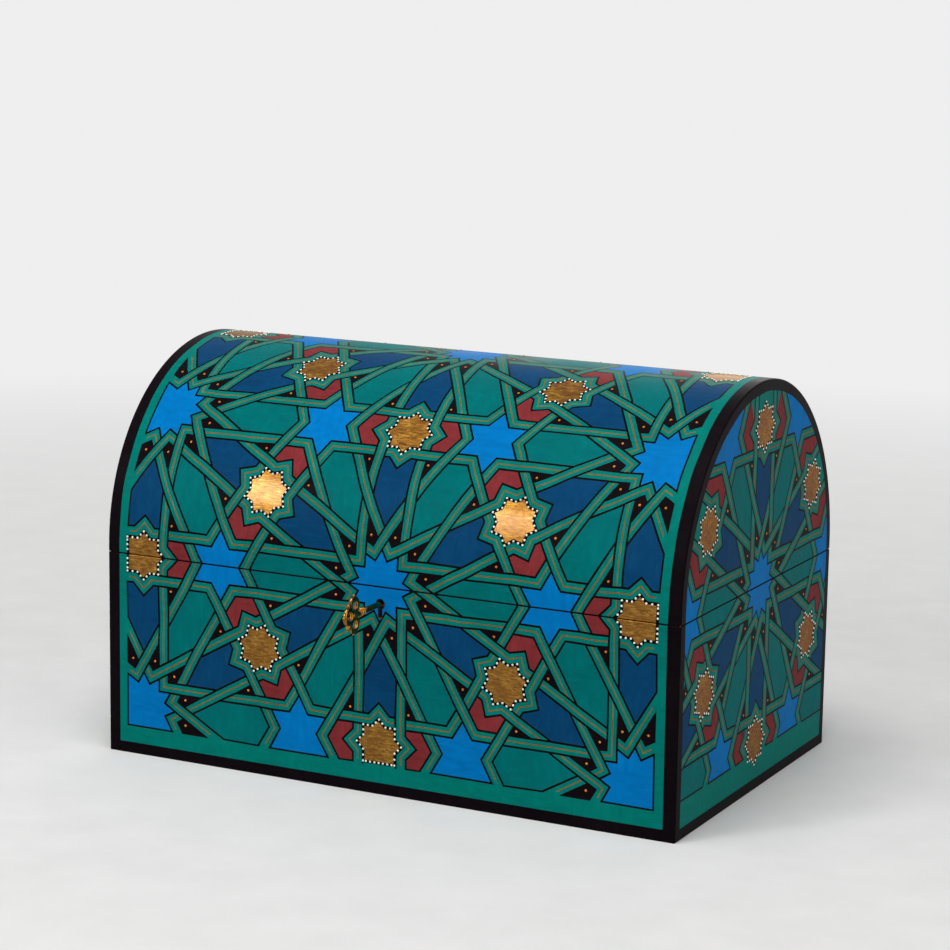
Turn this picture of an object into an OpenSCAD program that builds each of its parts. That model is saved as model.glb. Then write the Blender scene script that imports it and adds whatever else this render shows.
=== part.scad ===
// Domed wooden box with a hinged lid, a box lock and its key.
// Millimetres. The origin is the middle of the underside, X runs along the
// length, Y from front to back and Z up. The lid is drawn shut and unlocked.

/* [Box] */
// Outside length of the box
box_length = 320; // [260:1:400]
// Outside depth, front to back; the lid is a half round of this width
box_depth = 200; // [150:1:260]
// Height of the seam between base and lid
seam_height = 106; // [80:1:150]
// Straight height of the lid's sides below its half round
lid_skirt = 3; // [2:0.5:12]
// Gap between base and lid when shut
seam_gap = 0.4; // [0.2:0.1:1]
// How far the lid opens, in degrees
lid_opening = 100; // [90:1:110]

/* [Boards] */
// Thickness of the four boards of the base
board_t = 10; // [9:0.5:14]
// Thickness of the board under the base
bottom_t = 6; // [4:0.5:9]
// Thickness of the lip with which the front and back lap the ends
corner_lip = 5; // [3:0.5:6]
// Thickness of the arched ends of the lid
lid_end_t = 10; // [8:0.5:14]
// Thickness of the bent board over the lid
shell_t = 5.5; // [4:0.5:6]
// Height of the rails inside the lid's front and back edges
rail_h = 14; // [12.5:0.5:20]
// Thickness of those rails
rail_t = 10; // [9.5:0.5:14]
// Glue line between curved faces
glue_gap = 0.1; // [0.05:0.01:0.2]

/* [Brads] */
// Diameter of the brads in the corners, bottom and lid
brad_d = 1.6; // [1.2:0.1:2]
// Length of the brads
brad_length = 18; // [14:1:22]
// Filler over a brad's head
brad_cover = 1; // [0.5:0.1:2]
// Brads in each corner of the base
corner_brads_each = 3; // [2:1:4]
// Brads along each long side of the bottom
bottom_brads_long = 4; // [2:1:6]
// Brads along each end of the bottom
bottom_brads_short = 2; // [2:1:4]
// Brads over each end of the lid
lid_brads_each = 5; // [3:1:7]
// Clearance round a brad or a screw in the wood
wood_clearance = 0.05; // [0.02:0.01:0.1]

/* [Hinges] */
// Distance of each hinge's middle from the nearer end of the box
hinge_inset = 65; // [40:1:85]
// Length of a hinge along its pin
hinge_length = 32; // [26:1:40]
// Thickness of a hinge leaf
leaf_t = 1.2; // [1:0.1:1.6]
// Wood left in front of a leaf on the edge of the board
leaf_margin = 1; // [0.5:0.1:2]
// Diameter of the hinge barrel
barrel_d = 4.4; // [4:0.1:6]
// Gap between the barrel and the back of the box
barrel_gap = 0.4; // [0.3:0.1:1]
// Diameter of the hinge pin
pin_d = 2; // [1.6:0.1:2.4]
// Knuckles of one hinge, shared between its two leaves
knuckles = 5; // [3:2:7]
// Reach of the stops behind the barrel, from the pin's axis
stop_reach = 4.8; // [4.2:0.1:6]

/* [Screws] */
// Diameter of the hinge screws
hinge_screw_d = 2.2; // [1.8:0.1:2.6]
// Length of the hinge screws
hinge_screw_length = 11; // [8:0.5:12]
// Diameter of the lock screws
lock_screw_d = 1.8; // [1.4:0.1:2.2]
// Length of the lock screws
lock_screw_length = 7; // [5:0.5:8]

/* [Lock] */
// Depth of the key's axis below the seam
key_drop = 8.5; // [8:0.1:9]
// Width of the lock plate and its selvedge
lock_width = 44; // [42:1:56]
// Height of the lock plate
lock_height = 21; // [19:0.5:26]
// Thickness of the lock plate and the strike
lock_plate_t = 1.2; // [1:0.1:1.6]
// Distance of the lock screws from the plate's lower and upper edges
lock_screw_margin = 3.5; // [3:0.1:4.5]
// How much shorter the strike is than the lock plate
strike_short = 4; // [2:0.5:8]
// Thickness of the cap over the works
cap_t = 0.8; // [0.6:0.1:1]
// Space for the works between plate and cap
works_gap = 3.6; // [3.4:0.1:3.8]
// Width of the works
works_width = 33; // [32.5:0.5:36]
// Height of the bolt
bolt_h = 3.7; // [3.4:0.1:3.8]
// Travel of the bolt
bolt_travel = 4; // [3:0.1:4.5]
// Thickness of the hook on the strike
hook_t = 1.8; // [1.4:0.1:2]
// Length of the hook's nose
hook_nose = 3.4; // [3:0.1:4]
// Thickness of the hook's nose
hook_nose_t = 1.4; // [1:0.1:1.5]
// Width of the hook's stem
hook_stem = 1.6; // [1.4:0.1:2]
// Gap from the drawn bolt to the hook
hook_gap = 1.6; // [1:0.1:1.8]
// Width of the bolt on each side of its talon
bolt_leg = 5; // [4:0.1:5.2]
// Diameter of the posts that rivet the cap to the plate
post_d = 1.8; // [1.4:0.1:2]
// Thickness of the spring
spring_t = 0.5; // [0.3:0.1:0.6]
// Width of the spring
spring_w = 2.4; // [1.6:0.1:2.8]

/* [Key] */
// Diameter of the round part of the keyhole
keyhole_d = 5.2; // [4.6:0.1:6]
// Width of the slot of the keyhole
keyhole_slot_w = 2.4; // [2.2:0.1:2.8]
// Reach of that slot below the key's axis
keyhole_reach = 7.5; // [7:0.1:9]
// Diameter of the key's shank
shank_d = 2.9; // [2.6:0.1:3.2]
// Length of the shank in front of the box
shank_out = 17.5; // [12:0.5:24]
// Reach of the bit from the key's axis
bit_reach = 5.4; // [5:0.1:5.5]
// Thickness of the bit
bit_t = 1.8; // [1.4:0.1:2]
// Height of the bow
bow_height = 20; // [16:0.5:26]
// Thickness of the bow
bow_t = 2.4; // [1.6:0.1:3.2]
// Spacing of the three collars behind the bow
collar_step = 1.6; // [1.2:0.1:2]

/* [Hidden] */
$fn = 48;
dome_fn = 200;
running = 0.05;
slack = 0.3;
over = 1;

paint = "#0f6f68";
trim = "#120f14";
bare_wood = "#7a4a2a";
brass = "#c8a04a";
steel = "#8d8f92";

half_length = box_length / 2;
hinge_offset = half_length - hinge_inset;
half_depth = box_depth / 2;
base_top = seam_height - seam_gap / 2;
lid_bottom = seam_height + seam_gap / 2;
board_h = base_top - bottom_t;
springing = seam_height + lid_skirt;
shell_inner_r = half_depth - shell_t;
inner_face = half_depth - board_t;

pin_y = half_depth + barrel_gap + barrel_d / 2;
knuckle_length = hinge_length / knuckles;
stop_angle = lid_opening / 2 + 1;
leaf_front = inner_face + leaf_margin;
leaf_screw_y = (leaf_front + half_depth) / 2;
leaf_screw_step = hinge_length / 3;
head_d_ratio = 1.9;

key_z = seam_height - key_drop;
plate_front = -inner_face - lock_plate_t;
works_front = plate_front - works_gap;
cap_front = works_front - cap_t;
works_middle = (plate_front + works_front) / 2;
works_floor = key_z - keyhole_reach - over;
selvedge_under = base_top - lock_plate_t;
bolt_top = selvedge_under - slack;
bolt_under = bolt_top - bolt_h;
bolt_t = works_gap - 2 * slack;
// The bit meets the bolt over this angle on each side of upright
bit_corner = norm([bit_reach, bit_t / 2]);
bit_meets = acos((bolt_under - key_z) / bit_corner);
bit_side = bit_corner * sin(bit_meets) + slack;
shift_in = bolt_travel * (180 - bit_meets) / 360;
shift_out = bolt_travel * (180 + bit_meets) / 360;
talon_left = -bit_side - shift_in - slack;
talon_right = bit_side - shift_out + slack;
talon_top = key_z + bit_corner + slack;
bolt_left = talon_left - bolt_leg;
bolt_right = talon_right + bolt_leg;
post_z = bolt_under - running - post_d / 2;
post_left = talon_left - running;
post_right = bolt_right - post_d / 2 - 2 * slack;
hook_left = bolt_right + hook_gap;
hook_right = hook_left + hook_nose + hook_stem;
hook_top_of_nose = bolt_under - slack;
hook_bottom = hook_top_of_nose - hook_nose_t;
strike_width = lock_width - strike_short;
lock_screw_x = (lock_width + works_width) / 4;
lock_screw_levels = [base_top - lock_height + lock_screw_margin, selvedge_under - lock_screw_margin];
strike_front = -(shell_inner_r - glue_gap) + running;
strike_back = -(half_depth - rail_t - shell_t) - leaf_margin;
bow_length = bow_height * 0.95;

// Runs a child's Z axis along +X
module along_x() {
    rotate([0, 90, 0]) children();
}

// Runs a child's Z axis along +Y
module along_y() {
    rotate([-90, 0, 0]) children();
}

// Extrudes a profile of Y and Z along X, between two X values
module extrude_x(from, to) {
    translate([from, 0, 0])
        rotate([90, 0, 90])
            linear_extrude(to - from) children();
}

// Extrudes a profile of X and Z along Y, between two Y values
module extrude_y(from, to) {
    translate([0, to, 0])
        rotate([90, 0, 0])
            linear_extrude(to - from) children();
}

// A box between two corners
module block(low, high) {
    translate(low) cube(high - low);
}

// ---- brads and screws ----

// Places children at each brad of the base corners, Z pointing inwards
module at_corner_brads() {
    step = board_h / corner_brads_each;
    for (side = [-1, 1], face = [-1, 1], i = [0 : corner_brads_each - 1])
        translate([side * (half_length - board_t / 2), face * half_depth, bottom_t + step * (i + 0.5)])
            rotate([face * 90, 0, 0]) children();
}

// Places children at each brad of the bottom, Z pointing up
module at_bottom_brads() {
    long_step = (box_length - 4 * board_t) / (bottom_brads_long - 1);
    short_step = box_depth / 2 / (bottom_brads_short - 1);
    for (face = [-1, 1], i = [0 : bottom_brads_long - 1])
        translate([-half_length + 2 * board_t + long_step * i, face * (half_depth - board_t / 2), 0])
            children();
    for (side = [-1, 1], i = [0 : bottom_brads_short - 1])
        translate([side * (half_length - board_t / 2), -half_depth / 2 + short_step * i, 0])
            children();
}

// Places children at each brad of the lid, Z pointing at the arch's centre
module at_lid_brads() {
    step = 150 / lid_brads_each;
    for (side = [-1, 1], i = [0 : lid_brads_each - 1])
        translate([side * (half_length - lid_end_t / 2), 0, springing])
            rotate([-75 + step * (i + 0.5), 0, 0])
                translate([0, 0, half_depth])
                    rotate([180, 0, 0]) children();
}

module brad() {
    translate([0, 0, brad_cover]) cylinder(d = brad_d, h = brad_length);
}

module brad_hole() {
    translate([0, 0, brad_cover])
        cylinder(d = brad_d + 2 * wood_clearance, h = brad_length + slack);
}

// The bottom brads' holes are open below, so that their heads show
module open_brad_hole() {
    translate([0, 0, -over])
        cylinder(d = brad_d + 2 * wood_clearance, h = over + brad_cover + brad_length + slack);
}

// A countersunk screw, its head's flat at Z = 0 and its point down
module wood_screw(d, length) {
    head_d = d * head_d_ratio;
    head_h = (head_d - d) / 2;
    point = d;
    difference() {
        union() {
            translate([0, 0, -head_h]) cylinder(d1 = d, d2 = head_d, h = head_h);
            translate([0, 0, point - length]) cylinder(d = d, h = length - point - head_h);
            translate([0, 0, -length]) cylinder(d1 = d / 4, d2 = d, h = point);
        }
        translate([-head_d, -d / 8, -head_h / 2]) cube([2 * head_d, d / 4, head_h]);
    }
}

// The pilot hole of that screw in wood
module pilot_hole(d, length) {
    translate([0, 0, -length - slack])
        cylinder(d = d + 2 * wood_clearance, h = length + slack + over);
}

// The countersunk hole of that screw in a metal plate
module sunk_hole(d) {
    head_d = d * head_d_ratio + 4 * wood_clearance;
    head_h = (d * head_d_ratio - d) / 2;
    translate([0, 0, -head_h])
        cylinder(d1 = d + 4 * wood_clearance, d2 = head_d, h = head_h);
    translate([0, 0, -4 * over]) cylinder(d = d + 4 * wood_clearance, h = 4 * over);
    translate([0, 0, -running]) cylinder(d = head_d, h = over);
}

// ---- base ----

module bottom_board() {
    color(trim) difference() {
        block([-half_length, -half_depth, 0], [half_length, half_depth, bottom_t]);
        at_bottom_brads() open_brad_hole();
    }
}

// The front or back board, before the lock or the hinges are let in
module long_board(face) {
    outer = face * half_depth;
    inner = face * inner_face;
    lap = face * (half_depth - corner_lip);
    difference() {
        block([-half_length, min(outer, inner), bottom_t], [half_length, max(outer, inner), base_top]);
        for (side = [-1, 1])
            block([side > 0 ? half_length - board_t : -half_length - over,
                   min(lap, face * (inner_face - over)), bottom_t - over],
                  [side > 0 ? half_length + over : -half_length + board_t,
                   max(lap, face * (inner_face - over)), base_top + over]);
        at_corner_brads() brad_hole();
        at_bottom_brads() open_brad_hole();
    }
}

module front_board() {
    color(paint) difference() {
        long_board(-1);
        keyhole(-half_depth - over, -inner_face + over, keyhole_d, keyhole_slot_w, keyhole_reach);
        // Room for the works, open above
        block([-works_width / 2 - slack, cap_front - slack, works_floor - slack],
              [works_width / 2 + slack, -inner_face + over, base_top + over]);
        // Seat of the plate
        block([-lock_width / 2, plate_front, base_top - lock_height],
              [lock_width / 2, -inner_face + over, base_top + over]);
        // Seat of the selvedge
        block([-lock_width / 2, cap_front - slack, selvedge_under],
              [lock_width / 2, -inner_face + over, base_top + over]);
        at_lock_screws() pilot_hole(lock_screw_d, lock_screw_length);
    }
}

module back_board() {
    color(paint) difference() {
        long_board(1);
        for (side = [-1, 1]) at_hinge(side)
            block([-hinge_length / 2, leaf_front, base_top - leaf_t],
                  [hinge_length / 2, half_depth + over, base_top + over]);
        at_hinge_screws(-1) pilot_hole(hinge_screw_d, hinge_screw_length);
    }
}

module end_board(side) {
    lap = half_depth - corner_lip;
    outer = side * half_length;
    inner = side * (half_length - board_t);
    color(paint) difference() {
        block([min(outer, inner), -lap, bottom_t], [max(outer, inner), lap, base_top]);
        at_corner_brads() brad_hole();
        at_bottom_brads() open_brad_hole();
    }
}

module left_end_board() {
    end_board(-1);
}

module right_end_board() {
    end_board(1);
}

module corner_brads() {
    color(steel) at_corner_brads() brad();
}

module bottom_brads() {
    color(steel) at_bottom_brads() brad();
}

// ---- lock ----

// A round hole with a slot below it, cut along Y
module keyhole(from, to, round_d, slot_w, reach) {
    translate([0, from, key_z]) along_y() cylinder(d = round_d, h = to - from);
    translate([0, from, key_z - reach + slot_w / 2]) along_y() cylinder(d = slot_w, h = to - from);
    block([-slot_w / 2, from, key_z - reach + slot_w / 2], [slot_w / 2, to, key_z]);
}

// Places children at each lock screw, Z pointing out of its head
module at_lock_screws() {
    for (side = [-1, 1], level = lock_screw_levels)
        translate([side * lock_screw_x, -inner_face, level]) along_y() children();
}

// Places children at the two posts that carry the bolt and the two below them
module at_posts() {
    for (x = [post_left, post_right])
        translate([x, works_front - running, post_z]) along_y() children();
    for (side = [-1, 1])
        translate([side * (works_width / 2 - post_d), works_front - running, works_floor + post_d])
            along_y() children();
}

// The hook's way through the selvedge
module hook_slot() {
    block([hook_left - 2 * slack, works_middle - hook_t / 2 - 1.5 * slack, selvedge_under - over],
          [hook_right + 2 * slack, works_middle + hook_t / 2 + 1.5 * slack, base_top + over]);
}

module lock_plate() {
    color(brass) difference() {
        union() {
            block([-lock_width / 2, plate_front, base_top - lock_height],
                  [lock_width / 2, -inner_face, base_top]);
            block([-lock_width / 2, cap_front - slack, selvedge_under],
                  [lock_width / 2, -inner_face, base_top]);
        }
        translate([0, plate_front - over, key_z])
            along_y() cylinder(d = shank_d + 2 * running, h = lock_plate_t + 2 * over);
        at_lock_screws() sunk_hole(lock_screw_d);
        at_posts() cylinder(d = post_d + 2 * running, h = works_gap + lock_plate_t + over);
        hook_slot();
    }
}

module lock_cap() {
    color(steel) {
        difference() {
            block([-works_width / 2, cap_front, works_floor],
                  [works_width / 2, works_front, selvedge_under - running]);
            keyhole(cap_front - over, works_front + over, shank_d + 4 * running,
                    keyhole_slot_w, keyhole_reach - slack);
        }
        at_posts() cylinder(d = post_d, h = works_gap + lock_plate_t);
    }
}

module lock_bolt() {
    color(brass) extrude_y(works_middle - bolt_t / 2, works_middle + bolt_t / 2)
        polygon([
            [bolt_left, bolt_under], [talon_left, bolt_under],
            [talon_left, talon_top], [talon_right, talon_top],
            [talon_right, bolt_under], [bolt_right, bolt_under],
            [bolt_right, bolt_top], [bolt_left, bolt_top]
        ]);
}

// A bent leaf from the lower left post up to the underside of the bolt
module lock_spring() {
    foot = [1.5 * post_d - works_width / 2 + running + spring_t, works_floor + post_d];
    tip = [bolt_left + bolt_leg / 3, bolt_under - spring_t - running];
    knee = [(foot.x + tip.x) / 2 - spring_t, (foot.y + tip.y) / 2 + spring_t];
    curl = [2 * spring_t, -spring_t];
    rise = [0, spring_t];
    color(steel) extrude_y(works_middle - spring_w / 2, works_middle + spring_w / 2)
        polygon([
            foot, knee, tip, tip + curl, tip + curl + rise, tip + rise,
            knee + [-spring_t, spring_t], foot - [spring_t, 0]
        ]);
}

module lock_screws() {
    color(brass) at_lock_screws() wood_screw(lock_screw_d, lock_screw_length);
}

// The bow is drawn in Y and Z, its middle at the origin
module bow_outline() {
    lobe = bow_height / 4;
    difference() {
        union() {
            circle(r = lobe * 1.05);
            for (turn = [90, 180, 270]) rotate(turn) translate([lobe * 0.95, 0]) circle(r = lobe);
            translate([lobe, 0]) square([lobe * 1.7, lobe * 0.9], center = true);
        }
        for (turn = [90, 180, 270]) rotate(turn) translate([lobe * 1.05, 0]) circle(r = lobe * 0.52);
        for (turn = [135, 225]) rotate(turn) translate([lobe * 2, 0]) circle(r = lobe * 0.55);
    }
}

module key() {
    tip = -inner_face - lock_plate_t / 3;
    bow_start = -half_depth - shank_out;
    bow_middle = bow_start - bow_length / 2;
    bead = bow_height / 14;
    color(brass) {
        translate([0, bow_start - 2 * over, key_z])
            along_y() cylinder(d = shank_d, h = tip - bow_start + 2 * over);
        block([-bit_t / 2, works_middle - bolt_t / 2 + running, key_z - bit_reach],
              [bit_t / 2, works_middle + bolt_t / 2 - running, key_z]);
        for (i = [0 : 2])
            translate([0, bow_start + i * collar_step, key_z])
                along_y() cylinder(d = shank_d * (1.6 - 0.15 * i), h = collar_step / 2);
        extrude_x(-bow_t / 2, bow_t / 2)
            translate([bow_middle, key_z]) bow_outline();
        for (angle = [45, 135, 180, 225, 315])
            translate([0, bow_middle + bow_height * 0.36 * cos(angle), key_z + bow_height * 0.36 * sin(angle)])
                sphere(r = bead);
    }
}

module strike() {
    color(brass) difference() {
        union() {
            block([-strike_width / 2, strike_front, lid_bottom],
                  [strike_width / 2, strike_back, lid_bottom + lock_plate_t]);
            extrude_y(works_middle - hook_t / 2, works_middle + hook_t / 2)
                polygon([
                    [hook_left, hook_bottom], [hook_right, hook_bottom],
                    [hook_right, lid_bottom + lock_plate_t / 2],
                    [hook_right - hook_stem, lid_bottom + lock_plate_t / 2],
                    [hook_right - hook_stem, hook_top_of_nose], [hook_left, hook_top_of_nose]
                ]);
        }
        at_strike_screws() sunk_hole(hinge_screw_d);
    }
}

// Places children at each strike screw, Z pointing down out of its head
module at_strike_screws() {
    for (side = [-1, 1])
        translate([side * strike_width * 0.34, (strike_front + 2 * strike_back) / 3, lid_bottom])
            rotate([180, 0, 0]) children();
}

module strike_screws() {
    color(brass) at_strike_screws() wood_screw(hinge_screw_d, hinge_screw_length);
}

// ---- lid ----

// The lid's section in Y and Z, of the given half width, from its lower edge
module lid_section(half_width) {
    translate([0, springing]) intersection() {
        circle(r = half_width, $fn = dome_fn);
        translate([-half_width, 0]) square([2 * half_width, half_width]);
    }
    translate([-half_width, lid_bottom]) square([2 * half_width, springing - lid_bottom]);
}

module lid_shell() {
    color(paint) difference() {
        extrude_x(-half_length, half_length) lid_section(half_depth);
        extrude_x(-half_length - over, half_length + over) union() {
            translate([0, springing]) circle(r = shell_inner_r, $fn = dome_fn);
            translate([-shell_inner_r, lid_bottom - over])
                square([2 * shell_inner_r, springing - lid_bottom + over]);
        }
        at_lid_brads() brad_hole();
        hinge_seats_in_lid();
    }
}

module lid_end(side) {
    outer = side * half_length;
    inner = side * (half_length - lid_end_t);
    color(paint) difference() {
        extrude_x(min(outer, inner), max(outer, inner)) lid_section(shell_inner_r - glue_gap);
        at_lid_brads() brad_hole();
    }
}

module lid_left_end() {
    lid_end(-1);
}

module lid_right_end() {
    lid_end(1);
}

module lid_rail(face) {
    rail_end = half_length - lid_end_t;
    rail_inner = face * (half_depth - shell_t - rail_t);
    extrude_x(-rail_end, rail_end) intersection() {
        lid_section(shell_inner_r - glue_gap);
        translate([min(rail_inner, face * half_depth), lid_bottom])
            square([abs(face * half_depth - rail_inner), rail_h]);
    }
}

module lid_front_rail() {
    color(bare_wood) difference() {
        lid_rail(-1);
        block([-strike_width / 2, strike_front - over, lid_bottom - over],
              [strike_width / 2, strike_back, lid_bottom + lock_plate_t]);
        at_strike_screws() pilot_hole(hinge_screw_d, hinge_screw_length);
    }
}

module lid_back_rail() {
    color(bare_wood) difference() {
        lid_rail(1);
        hinge_seats_in_lid();
    }
}

module lid_brads() {
    color(steel) at_lid_brads() brad();
}

// The seats of the lid's leaves and the holes of their screws
module hinge_seats_in_lid() {
    for (side = [-1, 1]) at_hinge(side)
        block([-hinge_length / 2, leaf_front, lid_bottom - over],
              [hinge_length / 2, half_depth + over, lid_bottom + leaf_t]);
    at_hinge_screws(1) pilot_hole(hinge_screw_d, hinge_screw_length);
}

// ---- hinges ----

module at_hinge(side) {
    translate([side * hinge_offset, 0, 0]) children();
}

// Places children at each hinge screw, Z pointing out of its head
module at_hinge_screws(level) {
    for (side = [-1, 1], i = [-1 : 1])
        at_hinge(side)
            translate([i * leaf_screw_step, leaf_screw_y, level < 0 ? base_top : lid_bottom])
                rotate([level < 0 ? 0 : 180, 0, 0]) children();
}

// One leaf with its knuckles and its stop; level is -1 on the base, 1 on the lid
module hinge_leaf(side, level) {
    plate_low = level < 0 ? base_top - leaf_t : lid_bottom;
    first = level < 0 ? 0 : 1;
    other = 1 - first;
    own_gap = slack / 2;
    stop_end = stop_angle + 34;
    color(brass) difference() {
        at_hinge(side) difference() {
            union() {
                block([-hinge_length / 2, leaf_front, plate_low],
                      [hinge_length / 2, half_depth, plate_low + leaf_t]);
                for (i = [first : 2 : knuckles - 1]) {
                    low = -hinge_length / 2 + i * knuckle_length + own_gap;
                    high = low + knuckle_length - 2 * own_gap;
                    block([low, leaf_front, plate_low], [high, pin_y, plate_low + leaf_t]);
                    translate([low, pin_y, seam_height]) along_x() cylinder(d = barrel_d, h = high - low);
                }
                extrude_x(-hinge_length / 2 + own_gap, hinge_length / 2 - own_gap)
                    translate([pin_y, seam_height])
                        polygon([
                            [0, 0],
                            stop_reach * [cos(stop_angle), level * sin(stop_angle)],
                            stop_reach * [cos(stop_end), level * sin(stop_end)]
                        ]);
            }
            translate([-hinge_length, pin_y, seam_height])
                along_x() cylinder(d = pin_d + 2 * running, h = 2 * hinge_length);
            for (i = [other : 2 : knuckles - 1])
                translate([-hinge_length / 2 + i * knuckle_length - own_gap, pin_y, seam_height])
                    along_x() cylinder(d = barrel_d + 2 * slack, h = knuckle_length + 2 * own_gap);
        }
        at_hinge_screws(level) sunk_hole(hinge_screw_d);
    }
}

module left_hinge_base_leaf() {
    hinge_leaf(-1, -1);
}

module right_hinge_base_leaf() {
    hinge_leaf(1, -1);
}

module left_hinge_lid_leaf() {
    hinge_leaf(-1, 1);
}

module right_hinge_lid_leaf() {
    hinge_leaf(1, 1);
}

// The pin with a button at each end
module hinge_pin(side) {
    button_t = 0.8;
    color(brass) at_hinge(side) translate([0, pin_y, seam_height]) along_x() {
        cylinder(d = pin_d, h = hinge_length, center = true);
        for (end = [-1, 1])
            translate([0, 0, end * (hinge_length + button_t) / 2])
                cylinder(d = barrel_d * 0.86, h = button_t, center = true);
    }
}

module left_hinge_pin() {
    hinge_pin(-1);
}

module right_hinge_pin() {
    hinge_pin(1);
}

module hinge_base_screws() {
    color(brass) at_hinge_screws(-1) wood_screw(hinge_screw_d, hinge_screw_length);
}

module hinge_lid_screws() {
    color(brass) at_hinge_screws(1) wood_screw(hinge_screw_d, hinge_screw_length);
}

bottom_board();
front_board();
back_board();
left_end_board();
right_end_board();
corner_brads();
bottom_brads();
lock_plate();
lock_cap();
lock_bolt();
lock_spring();
lock_screws();
key();
lid_shell();
lid_left_end();
lid_right_end();
lid_front_rail();
lid_back_rail();
lid_brads();
strike();
strike_screws();
left_hinge_base_leaf();
right_hinge_base_leaf();
left_hinge_lid_leaf();
right_hinge_lid_leaf();
left_hinge_pin();
right_hinge_pin();
hinge_base_screws();
hinge_lid_screws();
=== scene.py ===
"""The looks of the domed box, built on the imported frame.

Two closed skins carry the painted strapwork, one on the base and one on the lid. Raised dots and
the key casting follow, then the materials of the CAD nodes, the floor, the lights and the camera.
Lengths are in millimetres until MM turns them into metres.
"""

import math
from functools import partial

import bmesh
import bpy
import numpy as np
from mathutils import Matrix, Vector
from mathutils.geometry import delaunay_2d_cdt


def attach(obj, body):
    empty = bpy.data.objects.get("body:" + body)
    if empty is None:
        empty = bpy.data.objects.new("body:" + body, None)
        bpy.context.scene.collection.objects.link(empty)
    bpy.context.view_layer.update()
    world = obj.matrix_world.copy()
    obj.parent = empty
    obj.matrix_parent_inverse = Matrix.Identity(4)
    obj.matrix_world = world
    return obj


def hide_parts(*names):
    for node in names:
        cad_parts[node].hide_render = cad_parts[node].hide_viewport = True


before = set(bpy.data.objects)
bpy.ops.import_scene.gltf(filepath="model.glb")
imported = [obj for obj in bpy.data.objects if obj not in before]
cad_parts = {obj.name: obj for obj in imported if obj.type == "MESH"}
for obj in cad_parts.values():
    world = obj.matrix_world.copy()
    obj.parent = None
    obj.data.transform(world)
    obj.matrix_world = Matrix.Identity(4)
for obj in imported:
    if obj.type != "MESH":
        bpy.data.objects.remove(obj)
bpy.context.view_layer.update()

MM = 0.001

# ---- sizes of the box
HALF_X, HALF_Y = 160.0, 100.0
SEAM_Z, SPRING_Z = 106.0, 109.0
BASE_TOP, LID_BOTTOM = 105.8, 106.2
SKIN = 0.3  # how far the painted skin stands proud of the boards
ARRIS = 1.0  # rounding of the long edges
LIP = 0.5  # rounding of the edges at the seam and the bottom
LIP_OVER = 0.05  # the skin's lip passes the board's edge by this much
STEP = 2.0  # degrees of dome between two bends

OUT_Y = HALF_Y + SKIN
CORE_X, CORE_Y = HALF_X + SKIN - ARRIS, HALF_Y + SKIN - ARRIS
BASE_LOW, BASE_HIGH = -LIP_OVER, BASE_TOP + LIP_OVER
LID_LOW = LID_BOTTOM - LIP_OVER
SHEET_V = 2 * SPRING_Z + math.pi * HALF_Y  # front bottom edge to back bottom edge

# ---- strapwork
PITCH = 160.08  # from one twelve-fold star to the next
REACH = PITCH / math.sqrt(3)  # from such a star to a six-fold star
W = 12.0  # straps run this far beside the lattice lines
R6 = W / math.sin(math.radians(60))
BUMP = W * (math.sqrt(2) - 1)
LOOP_CORNER, LOOP_SIDE, LOOP_NOTCH = 78.57, 68.04, 63.07
LINE, RIBBON, EDGE = 0.29, 2.2, 3.3  # half widths of line, ribbon and outline
GOLD_R, RING_R, DOT_R = 8.15, 9.6, 8.9  # inradii in the eight-pointed star
STRAP_ROOM = 5.0  # a strap's paint stays within this of its segment's ends
OVER_R = 35.0  # the weave turns over at this distance from a twelve-fold star
FIELD_OUTLINE, LINE_STOP = 0.95, 2.0
CUT_STRETCH = 1.104  # the flat side of a gold star at the field's edge lies this much further out
CUT_NEAR = 14.0  # gold stars nearer than this to the field's edge are cut by it
CUT_ROOM = 15.0  # such a star is painted this far round its middle
CUT_FLAT = 0.42  # half of its flat side, as a share of the inradius
STAR_ROOM = 16.0  # a gold star with its ring and dots stays within this
AXES = (30, 90, 150)  # directions of the lattice edges, in degrees
AHEAD = 10.0  # a point this far past a strap's end, which gives its direction
SIN_60, TAN_30 = 0.866, 0.577

# paints, in the order of MATERIALS
RIB, BLK, LIN, STAR, BLUE, TEAL, RED, GOLD = range(8)


def xy(a, b):
    """A place or direction on a sheet."""
    return np.array((a, b), float)


def unit(deg):
    a = math.radians(deg)
    return xy(math.cos(a), math.sin(a))


def left(v):
    return xy(-v[1], v[0])


def norm(v):
    return v / np.hypot(v[0], v[1])


def lattice(low, high, margin=170.0):
    """The middles of the twelve-fold stars in and round a sheet."""
    a, b = unit(30) * PITCH, unit(90) * PITCH
    places = [a * i + b * j for i in range(-6, 7) for j in range(-8, 9)]
    return [p for p in places if (p > low - margin).all() and (p < high + margin).all()]


def strap(points, before, after, tags, out):
    """One strap as mitred segments: start, end, mitre directions, own direction, tag."""
    closed = before is None
    n = len(points)
    count = n if closed else n - 1
    dirs = [norm(points[(i + 1) % n] - points[i]) for i in range(count)]
    for i in range(count):
        prev = dirs[i - 1] if closed or i else norm(points[0] - before)
        nxt = dirs[(i + 1) % count] if closed or i < count - 1 else norm(after - points[-1])
        mitres = norm(prev + dirs[i]), norm(dirs[i] + nxt)
        out.append((points[i], points[(i + 1) % n], *mitres, dirs[i]) + tags[i])


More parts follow.
